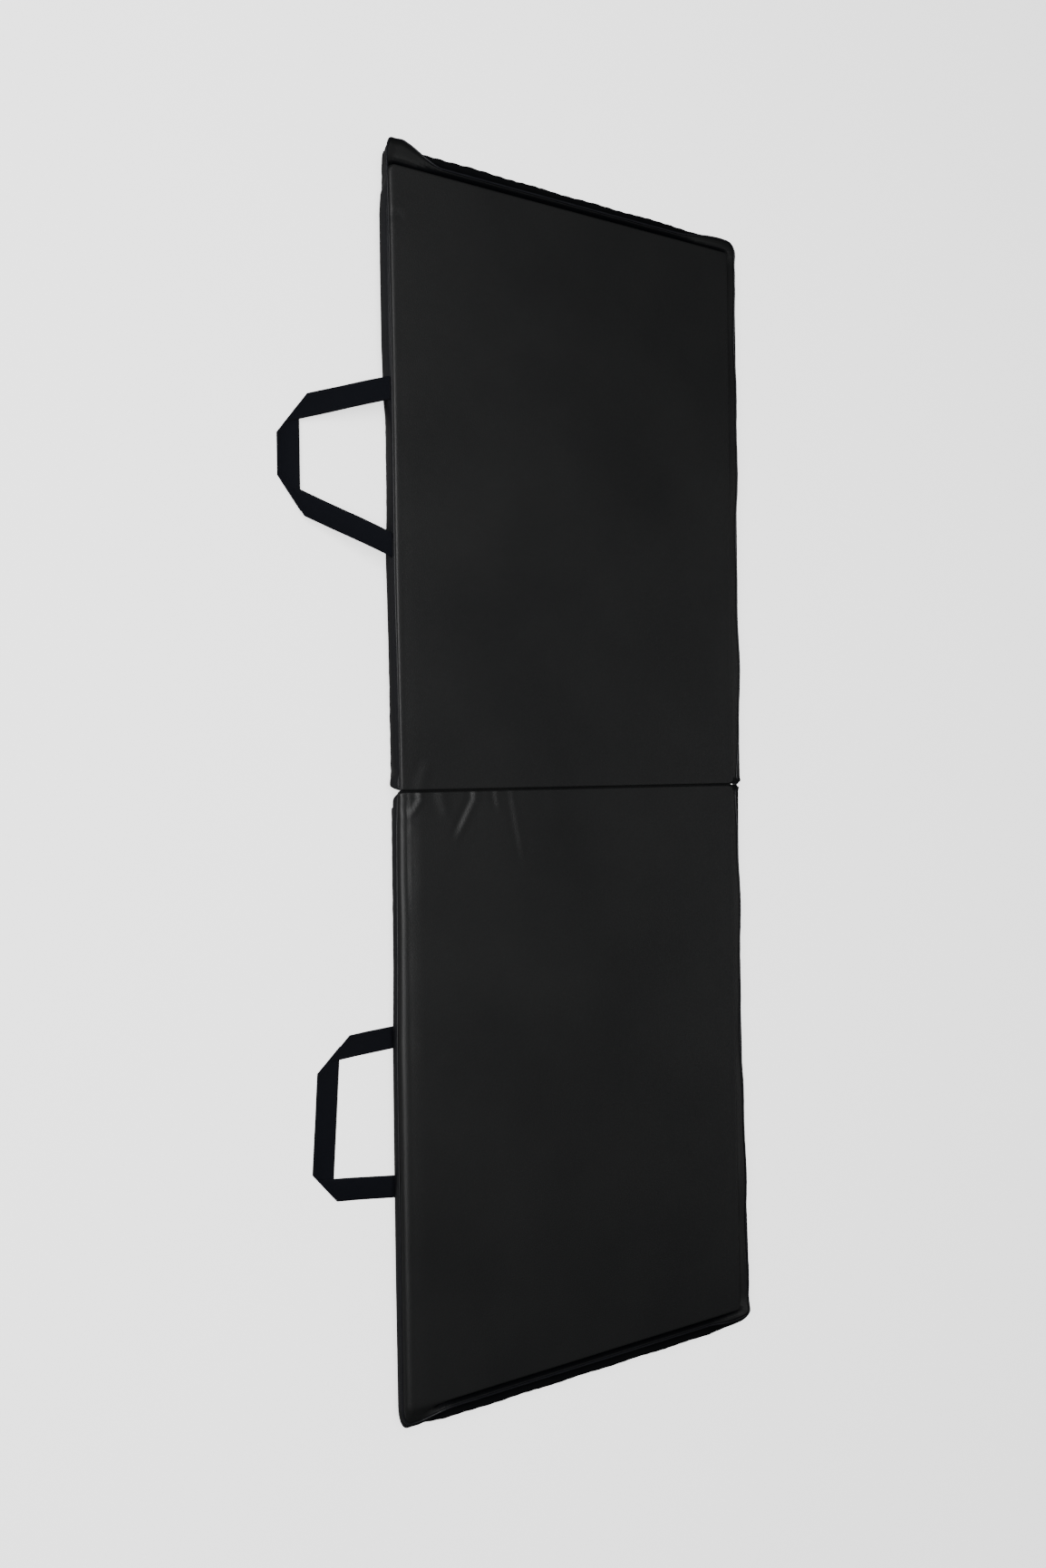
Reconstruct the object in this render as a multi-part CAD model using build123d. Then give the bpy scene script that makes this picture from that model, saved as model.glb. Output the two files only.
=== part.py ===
from build123d import *
import math
import os

# A folding exercise mat of two padded panels, lying open on a floor, with a webbing carry handle on
# one long side of each panel.
#
# Millimetres. X runs along the mat, with the fold at X = 0. Y runs across it, with the handles on the
# -Y side. Z is up, the mat lies on Z = 0 and the padded front faces up. The origin is the middle of
# the footprint, handles included. "left" is the panel on -X and "right" the panel on +X.
#
# Each panel is a foam block in a loose sewn cover. Going outwards from the front face, the cover's
# sides lean out to a wider base, except beside the handles, where they are tucked in a little, and
# at the fold, where they lean under so that the two panels leave a V notch between them.

# Driving dimensions
FACE_LENGTH = 860.0  # one panel's front face, from the fold to its outer end
FACE_WIDTH = 592.0
THICKNESS = 44.0  # floor to front face
SEAM_HEIGHT = 36.0  # height of the seam that joins the front sheet to the side bands
FOLD_UNDERCUT = 30.0  # how far the base stands back from the fold
# How far the cover stands out beyond the front face on each side, at the front seam and at the base
END_SHOULDER, END_FLARE = 11.0, 37.0
FAR_SHOULDER, FAR_FLARE = 21.0, 30.0
NEAR_SHOULDER, NEAR_FLARE = 0.0, -8.0  # beside the handles the base is tucked in

SHEET = 0.8  # cover material, measured level
FOLD_GAP = 1.5  # from the fold's centre to the cover of each panel
HINGE_HEIGHT = 44.8  # the fold turns about a line just above the front faces
FOLD_SEAM_RADIUS = 1.0
WELT_RADIUS = 2.0
WELT_CLEARANCE = 0.05
BACK_WELT_LIFT = 0.2  # the back welt stays just off the floor
FOAM_THICKNESS = 40.0
FOAM_SIDE_CLEARANCE = 3.0  # from the near band to the foam, where the handles' ends lie
FOAM_FACE_CLEARANCE = 0.2  # between the foam's base and the back sheet
FOAM_BEVEL_HEIGHT = 24.0  # the foam's edges are upright up to here and bevelled above
FOAM_TOP_INSET = 14.0  # how far the foam's top stays inside the edges of the front face
FOAM_END_REACH = 4.0  # how far the foam's upright ends stand beyond the front face

WEBBING_WIDTH = 31.0
WEBBING_THICKNESS = 2.0
HANDLE_CLEARANCE = 0.4  # between a handle's root and the welt in front of it
TAIL_LENGTH = 20.0  # the end of the webbing that is sewn inside the cover
LEFT_HANDLE_ROOT_HEIGHT = SEAM_HEIGHT  # the left handle leaves the front seam and slopes to the floor
RIGHT_HANDLE_ROOT_HEIGHT = 1.3  # the right handle leaves the back seam and lies on the floor
LEFT_HANDLE_TIP_HEIGHT = 1.4

# The middle line of each strap: (distance along X, distance out from the handle's own hinge line)
LEFT_STRAP = [(-554.0, 0.0), (-515.0, 135.5), (-398.5, 135.5), (-340.5, 0.0)]
RIGHT_STRAP = [(347.0, 0.0), (353.5, 93.5), (544.0, 106.0), (558.0, 0.0)]
# Distance from a strap's inner corner to the diagonal fold outside it, at its two corners
LEFT_FOLDS = [13.0, 16.0]
RIGHT_FOLDS = [12.0, 17.5]


def welt_stand_off(run, height):
    """How far outside a side's edge the middle of a welt lies, so that the two just touch.

    The side below or above the edge leans out by run over height.
    """
    lean = math.hypot(run, height) / height
    return (WELT_RADIUS + WELT_CLEARANCE) * lean


def handle_hinge_offset():
    """Distance from the near side of the cover out to the handles' hinge lines."""
    return 2 * WELT_RADIUS + WELT_CLEARANCE + HANDLE_CLEARANCE + WEBBING_THICKNESS / 2


# The footprint's extent decides where the near edge of the face lies
BACK_WELT_HEIGHT = WELT_RADIUS + BACK_WELT_LIFT
SHOULDER_HEIGHT = THICKNESS - SEAM_HEIGHT
LEFT_REACH = LEFT_STRAP[1][1] + WEBBING_WIDTH / 2
LEFT_SLOPE = math.asin((LEFT_HANDLE_ROOT_HEIGHT - LEFT_HANDLE_TIP_HEIGHT) / LEFT_REACH)
TIP_EDGE = LEFT_REACH * math.cos(LEFT_SLOPE) + WEBBING_THICKNESS / 2 * math.sin(LEFT_SLOPE)
HANDLE_REACH = handle_hinge_offset() + TIP_EDGE
FAR_BAND_RUN = FAR_FLARE - FAR_SHOULDER
FAR_WELT = FAR_FLARE - FAR_BAND_RUN * BACK_WELT_HEIGHT / SEAM_HEIGHT
FAR_REACH = FAR_WELT + welt_stand_off(FAR_BAND_RUN, SEAM_HEIGHT) + WELT_RADIUS
NEAR_Y = HANDLE_REACH - (HANDLE_REACH + FACE_WIDTH + FAR_REACH) / 2
FAR_Y = NEAR_Y + FACE_WIDTH
HINGE_Y = NEAR_Y - handle_hinge_offset()


def stand_out(height, shoulder, flare):
    """How far a side stands out beyond the face: a shoulder down to the seam, then the band."""
    if height >= SEAM_HEIGHT:
        return shoulder * (THICKNESS - height) / SHOULDER_HEIGHT
    return flare + (shoulder - flare) * height / SEAM_HEIGHT


def right_hinge_y():
    """The right handle leaves the cover at the back seam, inside the line of the left handle."""
    return HINGE_Y - stand_out(BACK_WELT_HEIGHT, NEAR_SHOULDER, NEAR_FLARE)


def cover_outline(height, inset=0.0):
    """The cover's level outline for the right panel at a height: fold, end, near and far limits."""
    undercut = (1 - height / THICKNESS) * (FOLD_UNDERCUT - FOLD_GAP)
    fold = FOLD_GAP + undercut + inset
    end = FACE_LENGTH + stand_out(height, END_SHOULDER, END_FLARE) - inset
    near = NEAR_Y - stand_out(height, NEAR_SHOULDER, NEAR_FLARE) + inset
    far = FAR_Y + stand_out(height, FAR_SHOULDER, FAR_FLARE) - inset
    return fold, end, near, far


def corners(height, inset=0.0, sink=0.0):
    """The outline's corners at a height: fold-near, end-near, end-far, fold-far."""
    fold, end, near, far = cover_outline(height, inset)
    level = height - sink
    return [(fold, near, level), (end, near, level), (end, far, level), (fold, far, level)]


def polygon(points):
    return Face(Wire.make_polygon([Vector(*p) for p in points], close=True))


def block(lower, upper):
    """The solid between two level polygons with the same number of corners."""
    return loft([polygon(lower), polygon(upper)], ruled=True)


def mirrored(shape, side):
    """Sub-parts are drawn for the right panel; the left one is its mirror image."""
    return shape if side == "right" else shape.mirror(Plane.YZ)


def rod(start, end, radius):
    start, end = Vector(*start), Vector(*end)
    run = end - start
    return Solid.make_cylinder(radius, run.length, Plane(origin=start, z_dir=run))


def rod_chain(points, radius, closed=False):
    """Straight rods with a ball at each corner, joined to one solid."""
    ends = points[1:] + points[:1] if closed else points[1:]
    shape = None
    for start, end in zip(points, ends):
        piece = rod(start, end, radius)
        shape = piece if shape is None else shape + piece
    for point in points if closed else points[1:-1]:
        shape = shape + Sphere(radius).moved(Location(point))
    return shape


# Sub-parts of one panel


def foam_core():
    """A foam slab on the back sheet. Its bevelled upper edges give the cover its soft edges."""
    bottom = SHEET + FOAM_FACE_CLEARANCE
    end = FACE_LENGTH + FOAM_END_REACH
    far = FAR_Y + FOAM_END_REACH

    def level(height):
        fold = cover_outline(height)[0] + SHEET + FOAM_FACE_CLEARANCE
        near = cover_outline(height)[2] + FOAM_SIDE_CLEARANCE
        return [(fold, near, height), (end, near, height), (end, far, height), (fold, far, height)]

    top = bottom + FOAM_THICKNESS
    top_near = NEAR_Y + FOAM_TOP_INSET
    top_end = FACE_LENGTH - FOAM_TOP_INSET
    top_far = FAR_Y - FOAM_TOP_INSET
    top_fold = FOLD_GAP + FOAM_TOP_INSET / 2
    upper = [
        (top_fold, top_near, top),
        (top_end, top_near, top),
        (top_end, top_far, top),
        (top_fold, top_far, top),
    ]
    return block(level(bottom), level(FOAM_BEVEL_HEIGHT)) + block(level(FOAM_BEVEL_HEIGHT), upper)


def front_sheet():
    """The padded face, turned down over the edges as far as the front seam."""
    outer = block(corners(SEAM_HEIGHT), corners(THICKNESS))
    inner = block(corners(SEAM_HEIGHT, SHEET, SHEET), corners(THICKNESS, SHEET, SHEET))
    return outer - inner


def back_sheet():
    return block(corners(0.0), corners(SHEET))


def side_band(first, second):
    """One side of the cover, from the back sheet up to the front seam, mitred to its neighbours."""
    sections = []
    for height in (SHEET, SEAM_HEIGHT):
        outer = corners(height)
        inner = corners(height, SHEET)
        sections.append([outer[first], outer[second], inner[second], inner[first]])
    return block(sections[0], sections[1])


def welt_corners(height):
    """The middle line of a welt at a height, standing just outside the cover."""
    fold, end, near, far = cover_outline(height)
    fold -= welt_stand_off(FOLD_UNDERCUT - FOLD_GAP, THICKNESS)
    end += welt_stand_off(END_FLARE - END_SHOULDER, SEAM_HEIGHT)
    near -= welt_stand_off(NEAR_FLARE - NEAR_SHOULDER, SEAM_HEIGHT)
    far += welt_stand_off(FAR_FLARE - FAR_SHOULDER, SEAM_HEIGHT)
    return [(fold, near, height), (end, near, height), (end, far, height), (fold, far, height)]


def front_welt():
    """The front welt runs round three sides; at the fold the front sheet is sewn to its neighbour."""
    points = welt_corners(SEAM_HEIGHT)
    start = cover_outline(SEAM_HEIGHT)[0]
    points[0] = (start, points[0][1], SEAM_HEIGHT)
    points[3] = (start, points[3][1], SEAM_HEIGHT)
    return rod_chain(points, WELT_RADIUS)


def back_welt():
    return rod_chain(welt_corners(BACK_WELT_HEIGHT), WELT_RADIUS, closed=True)


PANEL_PARTS = {
    "foam_core": foam_core,
    "front_sheet": front_sheet,
    "back_sheet": back_sheet,
    "near_band": lambda: side_band(0, 1),
    "end_band": lambda: side_band(1, 2),
    "far_band": lambda: side_band(2, 3),
    "fold_band": lambda: side_band(3, 0),
    "front_welt": front_welt,
    "back_welt": back_welt,
}


# Handles


def line_crossing(point_a, angle_a, point_b, angle_b):
    """Where two lines in a plane cross, each given by a point and a direction angle."""
    ax, ay = math.cos(angle_a), math.sin(angle_a)
    bx, by = math.cos(angle_b), math.sin(angle_b)
    dx, dy = point_b[0] - point_a[0], point_b[1] - point_a[1]
    along = (dx * by - dy * bx) / (ax * by - ay * bx)
    return point_a[0] + along * ax, point_a[1] + along * ay


def beside(point, angle, distance):
    """A point moved square to a direction, to its left for a positive distance."""
    return point[0] - distance * math.sin(angle), point[1] + distance * math.cos(angle)


def strap_outline(path, folds):
    """The flat outline of a strap that runs out, across and back, folded diagonally at its corners.

    The path goes from -X to +X with the loop's inside on its right.
    """
    half = WEBBING_WIDTH / 2
    angles = [math.atan2(b[1] - a[1], b[0] - a[0]) for a, b in zip(path, path[1:])]
    root_line = ((0.0, 0.0), 0.0)
    outer = [line_crossing(beside(path[0], angles[0], half), angles[0], *root_line)]
    inner = [line_crossing(beside(path[0], angles[0], -half), angles[0], *root_line)]
    for corner, before, after, fold in zip(path[1:-1], angles, angles[1:], folds):
        crease_angle = (before + after) / 2
        inside = line_crossing(beside(corner, before, -half), before, beside(corner, after, -half), after)
        crease = beside(inside, crease_angle, fold)
        outer.append(line_crossing(beside(corner, before, half), before, crease, crease_angle))
        outer.append(line_crossing(beside(corner, after, half), after, crease, crease_angle))
        inner.append(inside)
    outer.append(line_crossing(beside(path[-1], angles[-1], half), angles[-1], *root_line))
    inner.append(line_crossing(beside(path[-1], angles[-1], -half), angles[-1], *root_line))
    return outer, inner


def strap_plane(hinge_y, root_height, slope):
    """Local X runs along the mat and local Y runs out from the hinge line to the handle's tip."""
    origin = (0.0, hinge_y, root_height)
    return Plane(origin=origin, x_dir=(1, 0, 0), z_dir=(0, math.sin(slope), -math.cos(slope)))


def handle(path, folds, hinge_y, root_height, slope):
    """A flat webbing loop whose two roots are rounded about the hinge line."""
    outer, inner = strap_outline(path, folds)
    plane = strap_plane(hinge_y, root_height, slope)
    loop = outer + inner[::-1]
    flat = Face(Wire.make_polygon([Vector(*p, -WEBBING_THICKNESS / 2) for p in loop], close=True))
    shape = Solid.extrude(flat, Vector(0, 0, WEBBING_THICKNESS))
    for a, b in ((outer[0], inner[0]), (inner[-1], outer[-1])):
        shape = shape + rod((a[0], 0.0, 0.0), (b[0], 0.0, 0.0), WEBBING_THICKNESS / 2)
    return plane.location * shape


def handle_tails(path, height, length):
    """The two ends of the webbing inside the cover, lying flat against the near band."""
    gap = (FOAM_SIDE_CLEARANCE - SHEET - WEBBING_THICKNESS) / 2
    tails = []
    for root_x in (path[0][0], path[-1][0]):
        start, end = root_x - WEBBING_WIDTH / 2, root_x + WEBBING_WIDTH / 2
        sections = []
        for level in (height, height + length):
            outside = cover_outline(level)[2] + SHEET + gap
            inside = outside + WEBBING_THICKNESS
            sections.append(
                [(start, outside, level), (end, outside, level), (end, inside, level), (start, inside, level)]
            )
        tails.append(block(sections[0], sections[1]))
    return Compound(tails)


def fold_seam():
    """The stitched line on which the two panels turn."""
    _, _, near, far = cover_outline(THICKNESS)
    return rod((0.0, near, HINGE_HEIGHT), (0.0, far, HINGE_HEIGHT), FOLD_SEAM_RADIUS)


def build_all():
    parts = {}
    for side in ("left", "right"):
        for name, make in PANEL_PARTS.items():
            parts[f"{side}_{name}"] = mirrored(make(), side)
    parts["left_handle"] = handle(
        LEFT_STRAP, LEFT_FOLDS, HINGE_Y, LEFT_HANDLE_ROOT_HEIGHT, LEFT_SLOPE
    )
    parts["right_handle"] = handle(
        RIGHT_STRAP, RIGHT_FOLDS, right_hinge_y(), RIGHT_HANDLE_ROOT_HEIGHT, 0.0
    )
    parts["left_handle_tails"] = handle_tails(
        LEFT_STRAP, LEFT_HANDLE_ROOT_HEIGHT - TAIL_LENGTH, TAIL_LENGTH
    )
    parts["right_handle_tails"] = handle_tails(RIGHT_STRAP, SHEET + FOAM_FACE_CLEARANCE, TAIL_LENGTH)
    parts["fold_seam"] = fold_seam()
    return parts


os.makedirs("parts", exist_ok=True)
for node, shape in build_all().items():
    export_step(shape, f"parts/{node}.step")
print("near face edge y", round(NEAR_Y, 3))
print("handle hinge y", round(HINGE_Y, 3), "left,", round(right_hinge_y(), 3), "right")
print("left handle slope", round(math.degrees(LEFT_SLOPE), 2), "degrees")
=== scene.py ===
import math

import bpy
import numpy as np
from mathutils import Matrix, Vector


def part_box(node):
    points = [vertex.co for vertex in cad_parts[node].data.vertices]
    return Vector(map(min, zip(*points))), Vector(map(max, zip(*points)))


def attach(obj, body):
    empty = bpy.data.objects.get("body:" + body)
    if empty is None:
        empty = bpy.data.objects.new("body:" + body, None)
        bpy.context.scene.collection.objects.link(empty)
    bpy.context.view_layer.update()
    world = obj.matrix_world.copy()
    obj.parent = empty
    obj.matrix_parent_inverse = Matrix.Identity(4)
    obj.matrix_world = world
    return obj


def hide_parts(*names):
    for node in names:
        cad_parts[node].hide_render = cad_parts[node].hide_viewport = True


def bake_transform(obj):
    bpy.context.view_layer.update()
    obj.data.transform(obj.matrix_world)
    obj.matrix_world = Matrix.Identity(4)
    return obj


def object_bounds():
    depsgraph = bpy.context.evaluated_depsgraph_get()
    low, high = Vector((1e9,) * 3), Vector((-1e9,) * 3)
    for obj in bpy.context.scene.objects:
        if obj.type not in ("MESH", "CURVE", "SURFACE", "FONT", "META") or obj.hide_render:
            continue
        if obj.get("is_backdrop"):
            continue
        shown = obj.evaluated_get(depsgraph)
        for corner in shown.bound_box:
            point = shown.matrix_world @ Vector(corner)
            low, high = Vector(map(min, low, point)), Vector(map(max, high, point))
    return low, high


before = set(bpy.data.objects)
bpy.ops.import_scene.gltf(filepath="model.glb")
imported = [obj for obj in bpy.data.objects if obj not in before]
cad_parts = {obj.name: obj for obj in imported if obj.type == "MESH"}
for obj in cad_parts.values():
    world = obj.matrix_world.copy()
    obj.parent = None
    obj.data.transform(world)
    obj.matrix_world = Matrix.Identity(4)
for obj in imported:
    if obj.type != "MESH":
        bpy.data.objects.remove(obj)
cad_box = [list(corner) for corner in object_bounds()]

MM = 0.001

# Places taken from the CAD frame, in metres
NEAR_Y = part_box("right_near_band")[0][1]
FACE_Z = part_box("right_front_sheet")[1][2]
END_SHOULDER = 11 * MM
FAR_SHOULDER = 21 * MM
FACE_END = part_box("right_front_sheet")[1][0] - END_SHOULDER
FAR_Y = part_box("right_front_sheet")[1][1] - FAR_SHOULDER
FOLD_EDGE = 0.8 * MM  # from the fold's centre to the edge of each face
SHEET = 0.8 * MM  # the cover's thickness
FOAM_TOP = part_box("right_foam_core")[1][2]
FOAM_BEVEL = 15.0  # how far in from the face's edges the foam reaches its full height, in mm

INSET = 12 * MM  # the flat grid of the face stops this far inside its edges
CORNER_STEPS = 17
CORNER_ROUND = 0.38  # share of a corner's side that its bend takes up, where the panel doesn't say
LEAN_LIMIT = 3 * MM  # a side that leans in closer to the grid's edge than this pushes the edge in
LEAN_REACH = 90 * MM  # distance from the leaning side over which that push fades out
FINE, COARSE = 3.2 * MM, 7.0 * MM  # the face grid's spacing by the fold and near edge, and elsewhere
FINE_ALONG, FINE_ACROSS = 125 * MM, 215 * MM  # how far the fine spacing goes, from fold and near edge
UNDER_MARGIN = 4 * MM  # the underside's grid stops this far inside the last ring

NEAR, END, FAR, FOLD = range(4)


# ---------------------------------------------------------------- small maths


def smooth(value, low, high):
    t = np.clip((value - low) / (high - low), 0.0, 1.0)
    return t * t * (3 - 2 * t)


def mix(a, b, t):
    return a + (b - a) * t


def waves(x, y, length, seed, count=7):
    """A smooth, seeded unevenness of about -1 to 1, made of plane waves of about that length."""
    rng = np.random.default_rng(seed)
    total = 0.0
    for _ in range(count):
        angle = rng.uniform(0, math.pi)
        phase = rng.uniform(0, 2 * math.pi)
        k = 2 * math.pi / (length * rng.uniform(0.7, 1.5))
        total = total + np.sin(k * (x * math.cos(angle) + y * math.sin(angle)) + phase)
    return total / math.sqrt(count) * 0.8


def spline(points, cuts):
    """Catmull-Rom points through a list of control points, with that many steps between each pair."""
    p = np.array(points, float)
    ext = np.vstack([2 * p[0] - p[1], p, 2 * p[-1] - p[-2]])
    out = []
    for k in range(1, len(ext) - 2):
        for step in range(cuts):
            t = step / cuts
            a, b, c, d = ext[k - 1 : k + 3]
            out.append(
                0.5 * (2 * b + (c - a) * t + (2 * a - 5 * b + 4 * c - d) * t**2
                       + (3 * b - a - 3 * c + d) * t**3)
            )
    out.append(p[-1])
    return np.array(out)


def spaced(low, high, fine_until):
    """Positions from low to high: close together up to fine_until, wider after it."""
    middle = min(max(fine_until, low), high)
    first = np.linspace(low, middle, max(2, int(round((middle - low) / FINE)) + 1))
    second = np.linspace(middle, high, max(2, int(round((high - middle) / COARSE)) + 1))
    return np.concatenate([first[:-1], second])


# ---------------------------------------------------------------- the panels' sections
#
# A section is (distance out from the face's edge, height), in millimetres. It runs from the flat of
# the face over the edge to the front seam, down the band to the back seam, and in under the panel.

SHEET_FLAT = [(-12, 44), (-5, 44)]
END_SHEET = SHEET_FLAT + [(-1.2, 43.7), (0.4, 41.4), (1.4, 35.6), (3.4, 31.2), (7.6, 34.8), (12.0, 38.0)]
FULL_END_BAND = [(12.0, 38.0), (13.4, 34.2), (19, 29.2), (26, 27.0), (33, 26.8), (38, 17), (37.2, 2.4)]
LEAN_END_BAND = [(12.0, 38.0), (13.4, 33.6), (18, 28.0), (24, 23.8), (29.2, 22.2), (34.5, 13), (36.6, 2.4)]
EAR_SHEET = SHEET_FLAT + [(-1.0, 43.7), (0.4, 41.0), (1.4, 34.5), (3.6, 31.6), (13, 37.6), (40, 35.5)]
EAR_BAND = [(40, 35.5), (43.2, 33.5), (44.0, 29.5), (41.0, 21), (39.6, 12), (38.2, 6), (37, 2.4)]
LOW_EAR_SHEET = SHEET_FLAT + [(-1.2, 43.5), (0.4, 41.0), (1.6, 35.4), (4.2, 32.6), (12, 37.4), (23, 34.6)]
LOW_EAR_BAND = [(23, 34.0), (26.5, 31.5), (29.5, 26), (32, 19), (34, 11.5), (35.6, 6), (36.5, 2.4)]
FULL_EAR_BAND = [(23, 34.6), (28.5, 32.0), (33.5, 27.5), (37, 20), (38, 12), (38, 6), (37, 2.4)]
SOFT_EAR_SHEET = [(-12, 44), (-6, 43.7), (-1, 42.8), (4, 40.8), (9, 38.4), (14, 36.2), (19, 33.8), (23, 31.5)]
SOFT_EAR_BAND = [(23, 31.5), (27.5, 29.5), (32, 25.5), (35, 19), (36.4, 12), (36.8, 6), (36.5, 2.4)]
FAR_SHEET = SHEET_FLAT + [(-1.0, 43.5), (0.4, 40.0), (2.2, 34.6), (7, 30.2), (15, 28.2), (24.5, 27.6)]
FAR_BAND = [(24.5, 27.6), (27.0, 27.0), (29.4, 22.5), (30.6, 15), (30.8, 9), (30.3, 5), (29.5, 2.4)]
NEAR_SHEET = [
    (-12, 44), (-7, 44), (-4, 43.9), (-2, 43.5), (-0.8, 42.6), (-0.2, 41.4), (-0.4, 40.2), (-1.2, 39.2),
]
ROLLED_SHEET = [
    (-12, 44), (-8, 43.8), (-5, 43.3), (-2, 42.1), (0.5, 39.8), (2.3, 36.8), (3.0, 33.5), (2.2, 31.0),
]
NEAR_BAND = [(-1.2, 39.2), (1.2, 36.0), (2.2, 30), (2.0, 22), (-0.4, 13), (-4.4, 6), (-7.4, 2.4)]
ROLLED_BAND = [(2.2, 31.0), (4.1, 28), (4.2, 23), (2.6, 16.5), (-0.8, 10), (-4.8, 5.5), (-7.4, 2.4)]
# How much of a bulge, and of a shift of the front sheet's edge, each point of the near band takes
NEAR_BULGE = [0.0, 0.35, 0.8, 1.0, 0.85, 0.5, 0.15]
SHIFT_DOWN = [1.0, 1.0, 1.0, 0.95, 0.8, 0.5, 0.25]
FOLD_SHEET = [
    (-12, 44), (-8, 44), (-4, 43.95), (-2.2, 43.75), (-1.0, 43.2), (-0.4, 42.2), (-0.1, 41), (0, 39.8),
]
FOLD_BAND = [(0, 39.8), (-1.5, 35), (-5, 28), (-10.5, 20), (-17, 12), (-24, 5.5), (-28, 2.4)]


def under_section(base):
    """From the back seam in under the panel, which lies on the floor."""
    return [(base, 2.4), (base - 1.4, 0.9), (base - 5, 0.3), (base - 16, 0.15)]


# Rings for each interval of a section's sheet, band and underside, and which ring is on each seam
SHEET_CUTS, BAND_CUTS, UNDER_CUTS = 3, 3, 2
SEAM_RING = 7 * SHEET_CUTS
BACK_RING = SEAM_RING + 6 * BAND_CUTS
LAST_RING = BACK_RING + 3 * UNDER_CUTS
GROOVE_DEPTH = 2.2 * MM  # a groove this deep, or deeper, has a shade of 1
LIP_SHADE = 0.7  # shade of the bands under the lip of the end and far sides
GROOVED = {NEAR: 0.0, END: 1.0, FAR: 1.0, FOLD: 0.0}  # the sides whose grooves and bands get painted shade
# Faces with a shade past each step get the groove vinyl with that specular level: a duller vinyl, painted
# shade
GROOVE_STEPS = [0.14, 0.32, 0.55]
PAINTED_SHADE_SHINE = [0.22, 0.13, 0.05]


def join_section(sheet, band):
    sheet, band = np.array(sheet, float), np.array(band, float)
    under = under_section(band[-1][0])
    rings = [spline(sheet, SHEET_CUTS), spline(band, BAND_CUTS)[1:], spline(under, UNDER_CUTS)[1:]]
    return np.vstack(rings)


def pair(sheet_a, sheet_b, t):
    return mix(np.array(sheet_a, float), np.array(sheet_b, float), t)


# How each panel differs. bulge, shift and far_shift are (metres from the fold, mm out) for the near
# band, the near edge of the front sheet and the far side. roll is the share of the rolled section in
# the near side's, by metres from the fold. An ear is a loose corner at the outer end: sheet, band,
# reach and strength. end_bulge is the share of the full end band, from the near to the far corner.
# round is the bend of the corner after each side, pucker the unevenness of the end's base, lobe how
# far the tip of the near corner is drawn in, knob how upright the fold side stands by the near edge,
# and edge_drop about how far the face sinks along the near edge, in mm.
PANELS = {
    "left": {
        "sign": -1,
        "knob": 0.62,
        "lobe": 1.0,
        "seed": 11,
        "bulge": [
            (0, 2.5), (0.006, 4.4), (0.014, 5.0), (0.020, 3.0), (0.026, -0.6), (0.034, 1.2), (0.05, 1.6),
            (0.16, 1.6), (0.27, 1.8), (0.33, 2.8), (0.38, 0.6), (0.45, -2.2), (0.50, -2.0), (0.545, 3.0),
            (0.62, 4.6), (0.72, 4.2), (0.80, 3.4), (0.828, 0.5), (0.845, -5.6),
        ],
        "shift": [
            (0, -4.0), (0.05, -3.5), (0.16, -2.0), (0.25, -0.3), (0.31, 0.3), (0.58, 0.3), (0.79, 2.0),
            (0.845, 3.4),
        ],
        "roll": [(0, 0.12), (0.1, 0.05), (0.3, 0.0), (0.9, 0.0)],
        "near_ear": (EAR_SHEET, EAR_BAND, 0.085, 1.0),
        "far_ear": (LOW_EAR_SHEET, LOW_EAR_BAND, 0.105, 1.0),
        "end_bulge": [(0, 1.0), (0.2, 0.85), (0.5, 0.45), (0.8, 0.3), (1, 0.3)],
        "far_shift": [(0, 0.0), (0.4, 0.0), (0.7, 1.5), (0.87, 0.5)],
        "round": {NEAR: 0.62, END: 0.5},
        "pucker": 0.6,
        "edge_drop": 0.6,
    },
    "right": {
        "sign": 1,
        "knob": 0.15,
        "lobe": 0.5,
        "seed": 23,
        "bulge": [(0, 0.0), (0.05, 0.5), (0.3, 0.6), (0.5, 1.0), (0.7, 1.2), (0.87, 0.6)],
        "shift": [(0, -4.5), (0.05, -4.0), (0.25, -2.0), (0.36, 0.5), (0.6, 1.0), (0.87, 1.0)],
        "roll": [(0, 0.75), (0.05, 1.0), (0.35, 0.95), (0.6, 0.85), (0.9, 0.8)],
        "near_ear": (SOFT_EAR_SHEET, SOFT_EAR_BAND, 0.075, 1.0),
        "far_ear": (LOW_EAR_SHEET, FULL_EAR_BAND, 0.06, 0.5),
        "end_bulge": [(0, 1.0), (1, 1.1)],
        "far_shift": [
            (0, -3.5), (0.1, -4.0), (0.32, -3.5), (0.55, 0.0), (0.74, 6.0), (0.82, 8.0), (0.87, 7.0),
        ],
        "round": {NEAR: 0.7, END: 0.22},
        "pucker": 0.3,
        "edge_drop": 4.2,
    },
}


def along(table, position):
    xs, ys = zip(*table)
    return float(np.interp(position, xs, ys))


def near_section(style, a):
    roll = along(style["roll"], a)
    bulge = along(style["bulge"], a)
    sheet = pair(NEAR_SHEET, ROLLED_SHEET, roll)
    band = pair(NEAR_BAND, ROLLED_BAND, roll)
    band[:, 0] += bulge * np.array(NEAR_BULGE)
    sheet[:, 0] += along(style["shift"], a) * np.linspace(0, 1, len(sheet))
    band[:, 0] += along(style["shift"], a) * np.array(SHIFT_DOWN)
    return join_section(sheet, band)


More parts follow.
